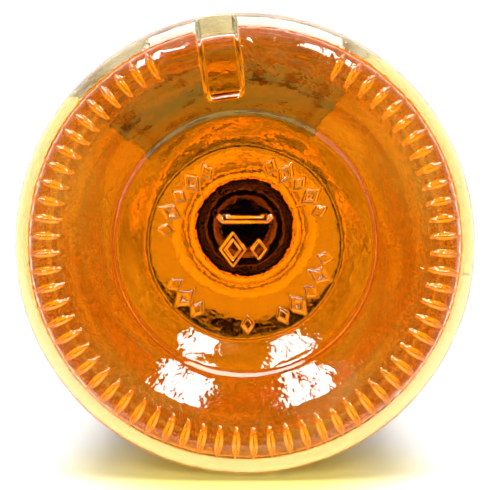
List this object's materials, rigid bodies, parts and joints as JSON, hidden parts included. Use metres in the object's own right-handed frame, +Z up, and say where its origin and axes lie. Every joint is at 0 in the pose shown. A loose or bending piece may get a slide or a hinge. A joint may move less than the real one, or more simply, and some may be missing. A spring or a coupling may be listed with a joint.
{
  "type": "glass spirits bottle",
  "caption": "Sealed round glass bottle of amber spirit with a stepped push-up base, a screw cap and a valved pourer that pours but resists refilling.",
  "frame": {"origin": "centre of the base, on the plane that the bottle stands on", "axes": "+Z up through the neck, -Y towards the label and the heel's index notch"},
  "size_m": [0.08, 0.0802, 0.298],
  "materials": {
    "bottle_glass": "polished",
    "spirit": "polished",
    "label_paper": "matte",
    "cap_aluminium": "satin",
    "closure_polymer": "satin",
    "wad_liner": "matte",
    "ball_glass": "polished"
  },
  "bodies": {
    "bottle": {"bottle_glass": "bottle_glass", "spirit_fill": "spirit", "body_label": "label_paper", "tamper_band": "cap_aluminium", "pourer_body": "closure_polymer", "pourer_baffle": "closure_polymer"},
    "wad": {"cap_wad": "wad_liner"},
    "cap": {"cap_shell": "cap_aluminium", "cap_sleeve": "closure_polymer"},
    "valve": {"pourer_valve": "closure_polymer"},
    "ball": {"pourer_ball": "ball_glass"}
  },
  "joints": [
    {"name": "cap_lift", "type": "slide", "parent": "bottle", "child": "wad", "axis": [0, 0, 1], "range_m": [0, 0.0045]},
    {"name": "cap_turn", "type": "hinge", "parent": "wad", "child": "cap", "pos_m": [0, 0, 0.29], "axis": [0, 0, 1], "range_deg": [0, 540]},
    {"name": "valve_lift", "type": "slide", "parent": "bottle", "child": "valve", "axis": [0, 0, 1], "range_m": [0, 0.0025]},
    {"name": "ball_shift", "type": "slide", "parent": "bottle", "child": "ball", "axis": [0, 0, 1], "range_m": [0, 0.0028]}
  ],
  "couplings": [
    {"joint": "cap_lift", "follows": "cap_turn", "m_per_rad": 0.00047746},
    {"joint": "valve_lift", "follows": "ball_shift", "ratio": 0.89}
  ]
}
